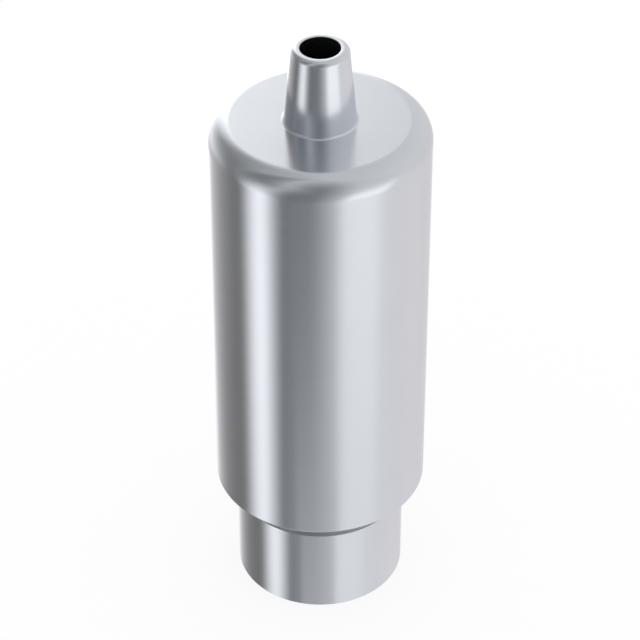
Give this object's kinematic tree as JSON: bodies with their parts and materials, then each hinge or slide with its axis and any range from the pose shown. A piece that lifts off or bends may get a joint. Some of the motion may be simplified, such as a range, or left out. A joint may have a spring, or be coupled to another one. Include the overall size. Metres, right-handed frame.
{
  "type": "dental abutment blank",
  "caption": "Round metal abutment blank with a thick body, a thinner clamping shank, and a tapered implant connection with a screw channel through its whole length.",
  "frame": {"origin": "centre of the clamping shank's end face, on which the blank stands", "axes": "+Z along the turning axis, from the shank up to the implant connection; X and Y are free, because the part is round"},
  "size_m": [0.01, 0.01, 0.0295],
  "materials": {
    "titanium": "bare titanium, finely turned and satin polished"
  },
  "bodies": {
    "root": {"abutment_blank": "titanium"}
  },
  "joints": []
}
